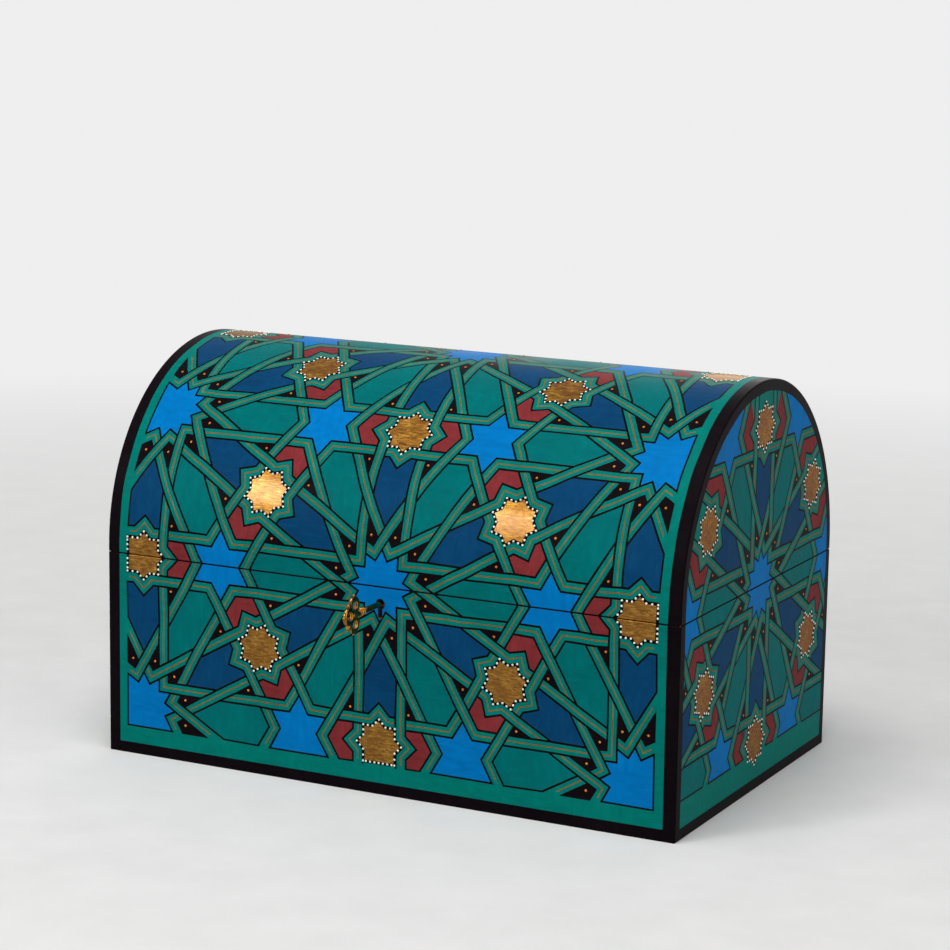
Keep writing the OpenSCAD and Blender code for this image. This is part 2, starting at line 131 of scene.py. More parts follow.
def edge_straps(o, deg, out):
    """The two straps beside a lattice edge, with a bump round the gold star on its middle."""
    e = unit(deg)
    far = o + e * PITCH
    for s in (1, -1):
        side = left(e) * s
        stations = (
            (W, W),
            (PITCH / 2 - BUMP, W),
            (PITCH / 2, W * math.sqrt(2)),
            (PITCH / 2 + BUMP, W),
            (PITCH - W, W),
        )
        pts = [o + e * a + side * b for a, b in stations]
        tags = [(1, o, s)] * 2 + [(1, far, -s)] * 2
        strap(pts, pts[0] + side * AHEAD, pts[-1] + side * AHEAD, tags, out)


def corner_straps(o, first, out):
    """The three bent straps round a six-fold star."""
    t = o + unit(first) * REACH
    for beta in (first, first + 120, first + 240):
        ends = []
        for turn in (60, -60):
            e = -unit(beta + turn)
            own = t - e * REACH
            f = left(e)
            s = 1 if f @ unit(beta) > 0 else -1
            ends.append((own + e * W + f * s * W, f * s * AHEAD, (1, own, s)))
        (a, on_a, tag_a), (b, on_b, tag_b) = ends
        strap([a, t + R6 * unit(beta), b], a + on_a, b + on_b, [tag_a, tag_b], out)


def loop_strap(o, out):
    """The closed strap round a twelve-fold star."""
    pts = []
    for deg in range(0, 360, 60):
        e = unit(deg + 30)
        bump = left(e) * BUMP
        pts.append(o + unit(deg) * LOOP_CORNER)
        pts += [o + e * LOOP_SIDE - bump, o + e * LOOP_NOTCH, o + e * LOOP_SIDE + bump]
    strap(pts, None, None, [(0, o, 0)] * len(pts), out)


def all_straps(low, high, loop_at=lambda o: True):
    """Every segment near a sheet. Its tag says: not a loop, its star, and its side there."""
    out = []
    for o in lattice(low, high):
        for deg in AXES:
            edge_straps(o, deg, out)
        for first in (0, 60):
            corner_straps(o, first, out)
        if loop_at(o):
            loop_strap(o, out)
    return [seg for seg in out if near_box(seg, low, high)]


def near_box(seg, low, high, pad=6.0):
    p, q = seg[:2]
    return (np.maximum(p, q) > low - pad).all() and (np.minimum(p, q) < high + pad).all()


def strap_edges(segs):
    out = []
    for p, q, mp, mq, d, *_ in segs:
        n = left(d)
        kp, kq = left(mp) / (left(mp) @ n), left(mq) / (left(mq) @ n)
        for h in (LINE, RIBBON, EDGE):
            for s in (h, -h):
                out.append((p + kp * s, q + kq * s))
    return out


def star_corner(k, inradius):
    """Corner k of an eight-pointed star, tips and notches in turn, with one tip along X."""
    r = inradius * math.sqrt(2) if k % 2 == 0 else inradius / math.cos(math.radians(22.5))
    return r, 22.5 * k


def star8(centre, inradius, along):
    """The eight-pointed star's sixteen corners; one tip points along the lattice edge."""
    turn = math.degrees(math.atan2(along[1], along[0]))
    corners = (star_corner(k, inradius) for k in range(16))
    return [centre + r * unit(deg + turn) for r, deg in corners]


def cut_star(centre, inradius, outward):
    """A gold star at the field's edge: its outward tip is missing and that side is flat."""
    corners = []
    for k in range(1, 16):
        r, deg = star_corner(k, inradius)
        a, b = unit(deg) * r
        if k in (1, 2, 14, 15):
            a = inradius * CUT_STRETCH
        corners.append(centre + outward * a + left(outward) * b)
    return corners


def cut_stars():
    """The gold stars that the long field's edges cut, in pattern places."""
    out = []
    for m, _ in middles(xy(-HALF_X, -SEAM_Z), xy(HALF_X, SHEET_V - SEAM_Z)):
        foot = min(m[1] + SEAM_Z, SHEET_V - SEAM_Z - m[1])
        if abs(m[0]) > FIELD_U - CUT_NEAR:
            out.append((m, xy(math.copysign(1, m[0]), 0)))
        elif foot < FIELD_V + CUT_NEAR:
            out.append((m, xy(0, -1 if m[1] < 0 else 1)))
    return out


def middles(low, high):
    """Middles of the lattice edges, with the edge's direction."""
    found = ((o + unit(deg) * PITCH / 2, unit(deg)) for o in lattice(low, high) for deg in AXES)
    low, high = low - STAR_ROOM, high + STAR_ROOM
    return [(m, along) for m, along in found if (m > low).all() and (m < high).all()]


def eight_fold(a, b):
    """Which inradius of an eight-pointed star passes a place that is a along and b aside."""
    return np.minimum(np.maximum(a, b), (a + b) / math.sqrt(2))


def gild(colour, inradius, where=True):
    """Paints a gold star and its black ring over the colours."""
    colour = np.where(where & (inradius < RING_R), BLK, colour)
    return np.where(where & (inradius < GOLD_R), GOLD, colour)


def strap_hits(points, segs):
    """The first and second segment over each point, or -1, and how far off their lines it is."""
    n = len(points)
    hit = np.full((2, n), -1, int)
    far = np.zeros((2, n))
    for k, (p, q, mp, mq, d, *_) in enumerate(segs):
        low, high = np.minimum(p, q) - STRAP_ROOM, np.maximum(p, q) + STRAP_ROOM
        near = np.nonzero(((points > low) & (points < high)).all(1))[0]
        rel = points[near] - p
        dist = np.abs(rel @ left(d))
        ok = (dist < EDGE) & (rel @ mp >= 0) & ((points[near] - q) @ mq < 0)
        near, dist = near[ok], dist[ok]
        row = (hit[0, near] >= 0).astype(int)
        hit[row, near] = k
        far[row, near] = dist
    return hit, far


def upper_strap(point, a, b):
    """The weave: 0 if segment a lies over segment b at their crossing, 1 if b does."""
    (a_edge, star, a_side), (b_edge, _, b_side) = a[5:], b[5:]
    if a_edge and b_edge:
        inner = np.hypot(*(point - star)) < OVER_R
        a_over = (a_side == 1) == inner
    else:
        a_over = a_side == 1 if a_edge else b_side != 1
    return 0 if a_over else 1


def nearest_star(points):
    """The middle of the twelve-fold star that each point is nearest to."""
    basis = np.array([unit(30) * PITCH, unit(90) * PITCH])
    cell = np.floor(points @ np.linalg.inv(basis))
    best = np.full(len(points), np.inf)
    centre = np.zeros(points.shape)
    for step in np.ndindex(4, 4):
        c = (cell + (step[0] - 1, step[1] - 1)) @ basis
        r = np.hypot(*(points - c).T)
        closer = r < best
        best[closer], centre[closer] = r[closer], c[closer]
    return centre


def star_fill(rel, angle):
    """Paints inside a loop: the star, its kites and its petals, by twelfths of a turn."""
    axis = np.round(angle / 30).astype(int)
    a = np.radians(angle - 30 * axis)
    r = np.hypot(*rel.T)
    x, y = r * np.cos(a), np.abs(r * np.sin(a))
    fill = np.where(y < W, np.where(axis % 2 == 0, TEAL, BLUE), BLK)
    fill = np.where(0.5 * x - SIN_60 * y < W, BLK, fill)
    return np.where(0.5 * x + SIN_60 * y < W, STAR, fill)


def classify(points, segs, plain=None):
    """The paint at each point of the endless pattern, and which points lie on a strap."""
    hit, far = strap_hits(points, segs)
    pick = np.zeros(len(points), int)
    for i in np.nonzero(hit[1] >= 0)[0]:
        pick[i] = upper_strap(points[i], segs[hit[0, i]], segs[hit[1, i]])
    dist = far[pick, np.arange(len(points))]
    on = hit[0] >= 0

    # along and aside of the nearest lattice edge, and from that edge's middle
    centre = nearest_star(points)
    rel = points - centre
    angle = np.degrees(np.arctan2(rel[:, 1], rel[:, 0]))
    edge = np.radians(30 + 60 * np.round((angle - 30) / 60))
    e = np.stack([np.cos(edge), np.sin(edge)], 1)
    along = (rel * e).sum(1)
    aside = np.abs(rel[:, 1] * e[:, 0] - rel[:, 0] * e[:, 1])
    t = np.abs(along - PITCH / 2)

    outer = np.where(REACH / 2 - aside < R6 + TAN_30 * t, STAR, RED)
    outer = np.where(aside < W + np.maximum(0, BUMP - t), RIB, outer)
    inside = along < LOOP_SIDE - np.maximum(0, BUMP - aside)
    result = np.where(inside, star_fill(rel, angle), outer)
    if plain is not None:
        result = np.where(inside & plain(points, centre), RIB, result)
    result = gild(result, eight_fold(t, aside))
    strap_paint = np.where(dist < LINE, LIN, np.where(dist < RIBBON, RIB, BLK))
    return np.where(on, strap_paint, result), on


# ---- flat sheets
def clip(p, q, poly):
    """The part of a segment inside a convex, counterclockwise polygon."""
    t0, t1 = 0.0, 1.0
    d = q - p
    for a, b in ring_edges(poly):
        n = left(b - a)
        num, den = n @ (p - a), n @ d
        if abs(den) < 1e-12:
            if num < 0:
                return None
        elif den > 0:
            t0 = max(t0, -num / den)
        else:
            t1 = min(t1, -num / den)
    if t1 - t0 < 1e-6:
        return None
    return p + d * t0, p + d * t1


def clipped(pairs, poly):
    return [c for p, q in pairs if (c := clip(p, q, poly))]


def line(x0, y0, x1, y1):
    return xy(x0, y0), xy(x1, y1)


def rectangle(x0, y0, x1, y1):
    return [xy(x0, y0), xy(x1, y0), xy(x1, y1), xy(x0, y1)]


def ring_edges(poly):
    return [(poly[i], poly[(i + 1) % len(poly)]) for i in range(len(poly))]


def warp(points, box, strength=0.16, waves=7, fade=6.0):
    """A slight hand-drawn waviness that leaves the box's outline where it is."""
    rng = np.random.default_rng(5)
    shift = np.zeros_like(points)
    for _ in range(waves):
        length = rng.uniform(16, 60)
        turn = rng.uniform(0, math.tau, 3)
        phase = points @ (xy(math.cos(turn[0]), math.sin(turn[0])) * math.tau / length)
        shift[:, 0] += np.sin(phase + turn[1])
        shift[:, 1] += np.sin(phase + turn[2])
    shift *= strength / math.sqrt(waves / 2)
    room = np.clip(np.minimum(points - box[0], box[1] - points) / fade, 0, 1)
    shift *= room[:, :1]
    shift[:, 1] *= room[:, 1]
    return points + shift


def flat_sheet(outline, edges, bends, paint):
    """A flat mesh of the sheet, cut along every colour edge: vertices, faces, paints."""
    coords, index = [], {}

    def vid(p):
        key = (round(float(p[0]), 5), round(float(p[1]), 5))
        if key not in index:
            index[key] = len(coords)
            coords.append(Vector(key))
        return index[key]

    def constraints(pairs):
        pairs = [(vid(p), vid(q)) for p, q in pairs]
        return [(a, b) for a, b in pairs if a != b]

    cons = constraints(bends)
    n_bend = len(cons)
    cons += constraints(ring_edges(outline) + edges)
    verts, tris_e, faces, _, orig_e, _ = delaunay_2d_cdt(coords, cons, [], 0, 1e-5)
    pts = np.array([tuple(v) for v in verts])
    colours = paint(pts[np.array(faces)].mean(1))
    of_bends = (min(o, default=n_bend) < n_bend for o in orig_e)
    bend_edges = {tuple(sorted(e)) for e, bent in zip(tris_e, of_bends) if bent}

    bm = bmesh.new()
    bv = [bm.verts.new((p[0], p[1], 0)) for p in pts]
    for f, c in zip(faces, colours):
        try:
            face = bm.faces.new([bv[i] for i in f])
        except ValueError:
            continue
        face.material_index = int(c)
    bm.verts.index_update()
    for e in bm.edges:
        if tuple(sorted((e.verts[0].index, e.verts[1].index))) in bend_edges:
            e.seam = True
    limits = dict(angle_limit=math.radians(0.05), delimit={"MATERIAL", "SEAM"})
    bmesh.ops.dissolve_limit(
        bm, verts=bm.verts[:], edges=bm.edges[:], use_dissolve_boundaries=False, **limits
    )
    bm.normal_update()
    if sum(f.normal.z for f in bm.faces) < 0:
        bmesh.ops.reverse_faces(bm, faces=bm.faces[:])
    bm.verts.index_update()
    pts = np.array([v.co.xy[:] for v in bm.verts])
    out_faces = [[v.index for v in f.verts] for f in bm.faces]
    mats = [f.material_index for f in bm.faces]
    bm.free()
    return pts, out_faces, mats


def pattern_edges(segs, mids, field):
    rings = [ring_edges(star8(m, r, along)) for m, along in mids for r in (GOLD_R, RING_R)]
    return clipped(strap_edges(segs) + sum(rings, []), field)


def moved(segs, mids):
    """Segments and middles, brought from pattern places to the sheet's."""
    segs = [(s[0] + ORIGIN, s[1] + ORIGIN) + s[2:] for s in segs]
    return segs, [(m + ORIGIN, along) for m, along in mids]


# ---- front, dome and back are one long sheet: u along the box, v up from the front's foot
FIELD_U, RIBBON_U = 149.2, 153.6
FIELD_V, RIBBON_V = 14.6, 6.0
BESIDE_U = 150.5  # straps that run wholly beyond this are part of the border
ORIGIN = xy(0, SEAM_Z)  # where the middle of the pattern lies, on every sheet


def long_paint(segs):
    def paint(p):
        u, v = np.abs(p[:, 0]), p[:, 1]
        foot = np.minimum(v, SHEET_V - v)
        colour, on = classify(p - ORIGIN, segs)
        for m, outward in cut_stars():
            rel = p - ORIGIN - m
            a, b = rel @ outward, np.abs(rel @ left(outward))
            near = (np.abs(a) < CUT_ROOM) & (b < CUT_ROOM) & ~on
            whole = eight_fold(np.abs(a), b)
            # the outward half is drawn in, and its tip is cut off
            flat = a / CUT_STRETCH
            half = np.minimum(np.maximum(np.abs(flat), b), (a + b) / math.sqrt(2))
            half = np.where(b < GOLD_R * CUT_FLAT, flat, np.maximum(half, flat))
            eight = np.where(a > 0, half, whole)
            colour = np.where(near & (whole < RING_R), RIB, colour)
            colour = gild(colour, eight, near)
        inset = np.minimum(FIELD_U - u, foot - FIELD_V)
        colour = field_edge(colour, on, inset)
        return np.where((u > RIBBON_U) | (foot < RIBBON_V), BLK, colour)

    return paint


def field_edge(colour, on, inset):
    """The field's black outline, the end of the straps' lines and the ribbon-coloured border."""
    colour = np.where((colour == LIN) & (inset < LINE_STOP), RIB, colour)
    colour = np.where(~on & (inset < FIELD_OUTLINE) & (colour != RIB), BLK, colour)
    return np.where(inset < 0, RIB, colour)


def beside_field(seg):
    """Straps that the border takes the place of."""
    ends = [(abs(p[0]), min(p[1] + SEAM_Z, SHEET_V - SEAM_Z - p[1])) for p in seg[:2]]
    return min(e[0] for e in ends) > BESIDE_U or max(e[1] for e in ends) < FIELD_V


def long_sheet(v0, v1, stations):
    low, high = xy(-CORE_X, v0), xy(CORE_X, v1)
    segs = all_straps(low - ORIGIN, high - ORIGIN)
    segs = [s for s in segs if not beside_field(s)]
    foot, head = max(v0, FIELD_V), min(v1, SHEET_V - FIELD_V)
    field = rectangle(-FIELD_U, foot, FIELD_U, head)
    edges = pattern_edges(*moved(segs, middles(low - ORIGIN, high - ORIGIN)), field)
    for m, outward in cut_stars():
        for inradius in (GOLD_R, RING_R):
            edges += clipped(ring_edges(cut_star(m + ORIGIN, inradius, outward)), field)
    for gap in (0.0, FIELD_OUTLINE, LINE_STOP):
        for s in (1, -1):
            edges.append(line(s * (FIELD_U - gap), foot, s * (FIELD_U - gap), head))
        for v in (FIELD_V + gap, SHEET_V - FIELD_V - gap):
            if v0 < v < v1:
                edges.append(line(-FIELD_U, v, FIELD_U, v))
    foot, head = max(v0, RIBBON_V), min(v1, SHEET_V - RIBBON_V)
    for s in (1, -1):
        edges.append(line(s * RIBBON_U, foot, s * RIBBON_U, head))
    for v in (RIBBON_V, SHEET_V - RIBBON_V):
        if v0 < v < v1:
            edges.append(line(-RIBBON_U, v, RIBBON_U, v))
    bends = [line(-CORE_X, v, CORE_X, v) for v in stations]
    outline = rectangle(-CORE_X, v0, CORE_X, v1)
    pts, faces, mats = flat_sheet(outline, edges, bends, long_paint(segs))
    return warp(pts, (low, high)), faces, mats


def sheet_point(u, v, out=0.0):
    """From the long sheet to the box; out is the height over the skin."""
    v = np.asarray(v, float)
    r = OUT_Y + out
    phi = np.clip((v - SPRING_Z) / HALF_Y, 0, math.pi)
    low = np.minimum(0, v - SPRING_Z) + np.minimum(0, SHEET_V - SPRING_Z - v)
    return np.stack([u + 0 * v, -np.cos(phi) * r, SPRING_Z + np.sin(phi) * r + low], -1)


# ---- an end: y along the box's depth (mirrored on the left), z up
BAND, END_FOOT, END_STRIP = 5.5, 5.75, 19.0
END_R = HALF_Y - BAND  # half the field's width, and the radius of its arch
FOOT_STAR = xy(0, SEAM_Z - PITCH / 2)  # this gold star lies over the strip at the foot


def arch(radius, low):
    """Counterclockwise outline: right side up, over the arch, left side down."""
    over = [radius * unit(i * STEP) + (0, SPRING_Z) for i in range(int(180 / STEP) + 1)]
    return [xy(-radius, low), xy(radius, low)] + over


def arch_inset(p, radius):
    """How far inside an arch of that radius, measured to its facets."""
    y, z = (p - (0, SPRING_Z)).T
    phi = np.degrees(np.arctan2(z, y))
    mid = (np.floor(phi / STEP) + 0.5) * STEP
    across = np.hypot(y, z) * np.cos(np.radians(phi - mid))
    on_arch = radius * math.cos(math.radians(STEP / 2)) - across
    return np.where(z > 0, on_arch, radius - np.abs(y))


def end_paint(segs):
    def plain(points, centre):
        return (points[:, 1] > 0) & (np.hypot(centre[:, 0], centre[:, 1]) > 1)

    def paint(p):
        colour, on = classify(p - ORIGIN, segs, plain)
        inset = p[:, 1] - END_STRIP
        colour = field_edge(colour, on, inset)
        colour = gild(colour, eight_fold(*np.abs(p - FOOT_STAR).T), inset < LINE_STOP)
        return np.where((arch_inset(p, END_R) < 0) | (p[:, 1] < END_FOOT), BLK, colour)

    return paint


def end_sheet(z0, z1=None):
    """An end's sheet: up to z1, or without it up into the arch."""
    top = z1 is None
    low, high = xy(-CORE_Y, z0), xy(CORE_Y, SPRING_Z + CORE_Y if top else z1)

    def drawn(o):
        return np.hypot(*o) < 1 or o[1] < 0 or not top

    segs = all_straps(low - ORIGIN, high - ORIGIN, drawn)
    foot = max(z0, END_STRIP)
    field = arch(END_R, foot) if top else rectangle(-END_R, foot, END_R, z1)
    edges = pattern_edges(*moved(segs, middles(low - ORIGIN, high - ORIGIN)), field)
    if top:
        edges += ring_edges(field)
        outline = arch(CORE_Y, z0)
    else:
        outline = rectangle(-CORE_Y, z0, CORE_Y, z1)
        edges += [line(s * END_R, END_FOOT, s * END_R, z1) for s in (1, -1)]
        heights = (END_FOOT, END_STRIP, END_STRIP + FIELD_OUTLINE, END_STRIP + LINE_STOP)
        edges += [line(-END_R, v, END_R, v) for v in heights]
        strip = rectangle(-END_R, END_FOOT, END_R, END_STRIP + LINE_STOP)
        for inradius in (GOLD_R, RING_R):
            edges += clipped(ring_edges(star8(FOOT_STAR, inradius, unit(90))), strip)
    pts, faces, mats = flat_sheet(outline, edges, [], end_paint(segs))
    wavy = warp(pts, (low, high))
    if top:
        room = arch_inset(pts, CORE_Y)
        wavy = pts + (wavy - pts) * np.clip(room / 6, 0, 1)[:, None]
        wavy[room < 1e-3] = pts[room < 1e-3]
    return wavy, faces, mats


# ---- closed skins
class Skin:
    def __init__(self):
        self.verts, self.index, self.faces, self.mats = [], {}, [], []

    def vid(self, p):
        key = (round(float(p[0]), 3), round(float(p[1]), 3), round(float(p[2]), 3))
        if key not in self.index:
            self.index[key] = len(self.verts)
            self.verts.append([float(c) for c in p])
        return self.index[key]

    def add(self, ids, mat):
        """Keeps a face if more than two corners are left without doubled ones."""
        ids = [a for i, a in enumerate(ids) if a != ids[i - 1]]
        if len(set(ids)) > 2:
            self.faces.append(ids)
            self.mats.append(mat)

    def face(self, pts, mat=BLK):
        self.add([self.vid(p) for p in pts], mat)

    def sheet(self, pts3, faces, mats):
        ids = [self.vid(p) for p in pts3]
        for f, m in zip(faces, mats):
            self.add([ids[i] for i in f], m)

    def long(self, sheet):
        self.sheet(sheet_point(*sheet[0].T), *sheet[1:])

    def ends(self, sheet):
        """The same sheet on both ends, turned by half a turn on the left one."""
        y, z = sheet[0].T
        for s in (1, -1):
            self.sheet(np.stack([np.full(len(y), s * (CORE_X + ARRIS)), s * y, z], 1), *sheet[1:])

    def strips(self, rows, flip=False, mats=None, painted=0):
        """Quads between rows of points; the first rows take mats, and gold goes further. The other
        rows are black: at the seam the flat of the lip is its own black paint, and the black round
        the rounding is painted shade that darkens the seam line.
        """
        for r, (a, b) in enumerate(zip(rows, rows[1:])):
            for i in range(len(a) - 1):
                quad = [a[i], a[i + 1], b[i + 1], b[i]]
                shown = mats is not None and (r < painted or mats[i] == GOLD and r < 3)
                self.face(quad[::-1] if flip else quad, mats[i] if shown else BLK)


def chain(sheet, value):
    """Places along the sheet's edge at one height, in order, and the paints between them."""
    pts, faces, mats = sheet
    on = np.nonzero(np.abs(pts[:, 1] - value) < 1e-3)[0]
    on = on[np.argsort(pts[on, 0])]
    member = set(on.tolist())
    paint = {}
    for f, m in zip(faces, mats):
        if len(member.intersection(f)) > 1:
            for i in range(len(f)):
                paint[frozenset((f[i - 1], f[i]))] = m
    pairs = zip(on.tolist(), on[1:].tolist())
    return pts[on, 0], [paint.get(frozenset(pair), BLK) for pair in pairs]


def reverse(places):
    return places[0][::-1], places[1][::-1]


def mirrored(places):
    return -places[0], places[1]


def plain_edge(half):
    return xy(-half, half), [BLK]


ARC = 4  # faces round a quarter of an arris
CORNERS = ((1, -1, -90), (1, 1, 0), (-1, 1, 90), (-1, -1, 180))  # signs of x and y, first angle


def corner_arc(k, r):
    """Points round a corner of the box, seen from above, with those at both ends."""
    sx, sy, first = CORNERS[k]
    turns = (unit(first + 90 * i / ARC) * r for i in range(ARC + 1))
    return [(sx * CORE_X + a, sy * CORE_Y + b) for a, b in turns]


def ring_paint(chains):
    out = []
    for _, mats in chains:
        out += mats + [BLK] * ARC
    return out


def ring_row(chains, inset, z):
    """Closed row of points round the box at one height, moved in by inset."""
    r = ARRIS - inset
    front, right, back, left_ = (c[0] for c in chains)
    sides = (
        [(x, -CORE_Y - r) for x in front],
        [(CORE_X + r, y) for y in right],
        [(x, CORE_Y + r) for x in back],
        [(-CORE_X - r, y) for y in left_],
    )
    row = [p for k, side in enumerate(sides) for p in side + corner_arc(k, r)[1:-1]]
    return [(x, y, z) for x, y in row + row[:1]]


def lip_rows(chains, z_edge, sign):
    """Rows from the flat sheets round the lip to the inner wall; sign is +1 for a top edge."""
    rows = []
    for deg in (0, 30, 60, 90):
        t = math.radians(deg)
        z = z_edge - sign * LIP * (1 - math.sin(t))
        rows.append(ring_row(chains, LIP * (1 - math.cos(t)), z))
    return rows + [ring_row(chains, ARRIS, z_edge)]


def inner_row(chains, z, part):
    places = chains[part][0]
    if part % 2 == 0:
        return [(x, CORE_Y * (part - 1), z) for x in places]
    return [(CORE_X * (2 - part), y, z) for y in places]


def make_base_skin():
    skin = Skin()
    lo, hi = BASE_LOW + LIP, BASE_HIGH - LIP
    front = long_sheet(lo, hi, [])
    back = long_sheet(SHEET_V - hi, SHEET_V - lo, [])
    ends = end_sheet(lo, hi)
    skin.long(front)
    skin.long(back)
    skin.ends(ends)
    # rows go round counterclockwise seen from above
    end = chain(ends, hi)
    top = [chain(front, hi), end, reverse(chain(back, SHEET_V - hi)), mirrored(end)]
    long, short = plain_edge(CORE_X), plain_edge(CORE_Y)
    low = [long, short, reverse(long), reverse(short)]
    # past the first row the lip's rounding is black, painted shade that darkens the seam line
    skin.strips(lip_rows(top, BASE_HIGH, 1), mats=ring_paint(top), painted=1)
    skin.strips(lip_rows(low, BASE_LOW, -1), flip=True)
    for part in range(4):
        a, b = inner_row(top, BASE_HIGH, part), inner_row(low, BASE_LOW, part)
        skin.face(a + b[::-1])
    for k in range(4):
        skin.strips([[(x, y, z) for x, y in corner_arc(k, ARRIS)] for z in (lo, hi)])
    return skin


def make_lid_skin():
    skin = Skin()
    lo = LID_LOW + LIP
    n = int(180 / STEP)
    stations = [SPRING_Z + i * math.radians(STEP) * HALF_Y for i in range(n + 1)]
    long = long_sheet(lo, SHEET_V - lo, stations)
    ends = end_sheet(lo)
    skin.long(long)
    skin.ends(ends)
    # the arris over the arch
    side = [lo] + stations + [SHEET_V - lo]
    phi = np.clip((np.array(side) - SPRING_Z) / HALF_Y, 0, math.pi)
    z_low = np.array([lo if v in (lo, SHEET_V - lo) else SPRING_Z for v in side])
    for s in (1, -1):
        rows = []
        for i in range(ARC + 1):
            t = math.radians(90 * i / ARC)
            r = CORE_Y + ARRIS * math.cos(t)
            x = s * (CORE_X + ARRIS * math.sin(t))
            rows.append([(x, -math.cos(f) * r, z + math.sin(f) * r) for f, z in zip(phi, z_low)])
        skin.strips(rows, flip=s > 0)
    end = chain(ends, lo)
    rim = [chain(long, lo), end, reverse(chain(long, SHEET_V - lo)), mirrored(end)]
    # past the first row the lip's rounding is black, painted shade that darkens the seam line
    skin.strips(lip_rows(rim, LID_LOW, -1), flip=True, mats=ring_paint(rim), painted=1)
    # inner wall, buried in the boards
    turns = np.radians(np.arange(n + 1) * STEP)
    arc_in = [(-math.cos(f) * CORE_Y, SPRING_Z + math.sin(f) * CORE_Y) for f in turns]
    for sy, part in ((-1, 0), (1, 2)):
        top = [(s * CORE_X, sy * CORE_Y, SPRING_Z) for s in (-sy, sy)]
        skin.face((top + inner_row(rim, LID_LOW, part))[::-1])
    for (y0, z0), (y1, z1) in zip(arc_in, arc_in[1:]):
        x = CORE_X
        skin.face([(-x, y1, z1), (x, y1, z1), (x, y0, z0), (-x, y0, z0)])
    for s, part in ((1, 1), (-1, 3)):
        rim_pts = inner_row(rim, LID_LOW, part)
        over = [(s * CORE_X, y, z) for y, z in (arc_in[::-1] if s > 0 else arc_in)]
        skin.face((rim_pts + over)[::-1])
    return skin


def skin_normals(pts, normals, lid):
    """Smooth normals of the rounded box where a face belongs to its outside."""
    x, y, z = pts.T
    ax = np.maximum(0, np.abs(x) - CORE_X)
    rel_z = z - SPRING_Z if lid else np.zeros_like(z)
    rho = np.where(rel_z > 0, np.hypot(y, rel_z), np.abs(y))
    ar = np.maximum(0, rho - CORE_Y)
    dy = np.where(rel_z > 0, y / np.maximum(rho, 1e-9), np.sign(y))
    dz = np.where(rel_z > 0, rel_z / np.maximum(rho, 1e-9), 0)
    out = np.stack([ax * np.sign(x), ar * dy, ar * dz], 1)
    length = np.linalg.norm(out, axis=1)
    out = out / np.maximum(length, 1e-9)[:, None]
    up = -np.clip(((LID_LOW if lid else BASE_LOW) + LIP - z) / LIP, 0, 1)
    if not lid:
        up += np.clip((z - BASE_HIGH + LIP) / LIP, 0, 1)
    out *= np.sqrt(np.maximum(0, 1 - up * up))[:, None]
    out[:, 2] += up
    good = (length > 1e-6) & ((out * normals).sum(1) > 0.85)
    return np.where(good[:, None], out, normals)


def add(name, data):
    ob = bpy.data.objects.new(name, data)
    bpy.context.scene.collection.objects.link(ob)
    return ob


def solid(name, bm):
    """A new object from a bmesh, which it uses up."""
    mesh = bpy.data.meshes.new(name)
    bm.to_mesh(mesh)
    bm.free()
    return add(name, mesh)


def cutter(name, low, high):
    bm = bmesh.new()
    bmesh.ops.create_cube(bm, size=1)
    for v in bm.verts:
        v.co = Vector([low[i] if v.co[i] < 0 else high[i] for i in range(3)]) * MM
    return solid(name, bm)


def boolean(ob, operation, others, **options):
    """Applies exact booleans to the object and deletes the other objects."""
    for other in others:
        mod = ob.modifiers.new(other.name, "BOOLEAN")
        mod.operation, mod.solver, mod.object = operation, "EXACT", other
        for key, value in options.items():
            setattr(mod, key, value)
    bpy.context.view_layer.update()
    graph = bpy.context.evaluated_depsgraph_get()
    ob.data = bpy.data.meshes.new_from_object(ob.evaluated_get(graph))
    ob.modifiers.clear()
    for other in others:
        old = other.data
        bpy.data.objects.remove(other)
        bpy.data.meshes.remove(old)
    return ob.data


def smooth(mesh):
    mesh.polygons.foreach_set("use_smooth", [True] * len(mesh.polygons))


def read(items, key, width=1, kind=float):
    out = np.zeros(len(items) * width, kind)
    items.foreach_get(key, out)
    return out.reshape(-1, width) if width > 1 else out


def skin_object(name, skin, body, cutters):
    mesh = bpy.data.meshes.new(name)
    mesh.from_pydata([[c * MM for c in v] for v in skin.verts], [], skin.faces)
    for m in MATERIALS:
        mesh.materials.append(m)
    mesh.polygons.foreach_set("material_index", skin.mats)
    mesh.update()
    ob = add(name, mesh)
    mesh = boolean(ob, "DIFFERENCE", cutters)
    mesh.name = name
    corners = read(mesh.loops, "vertex_index", kind=np.int32)
    places = read(mesh.vertices, "co", 3) / MM
    sides = read(mesh.polygons, "loop_total", kind=np.int32)
    normals = np.repeat(read(mesh.polygons, "normal", 3), sides, axis=0)
    smooth(mesh)
    normals = skin_normals(places[corners], normals, body == "lid")
    mesh.normals_split_custom_set(normals.tolist())
    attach(ob, body)


# ---- materials
def rgb(hexa):
    """A colour written as it looks on screen, for a shader socket."""
    out = []
    for i in (0, 2, 4):
        c = int(hexa[i : i + 2], 16) / 255
        out.append(c / 12.92 if c <= 0.04045 else ((c + 0.055) / 1.055) ** 2.4)
    return tuple(out) + (1.0,)


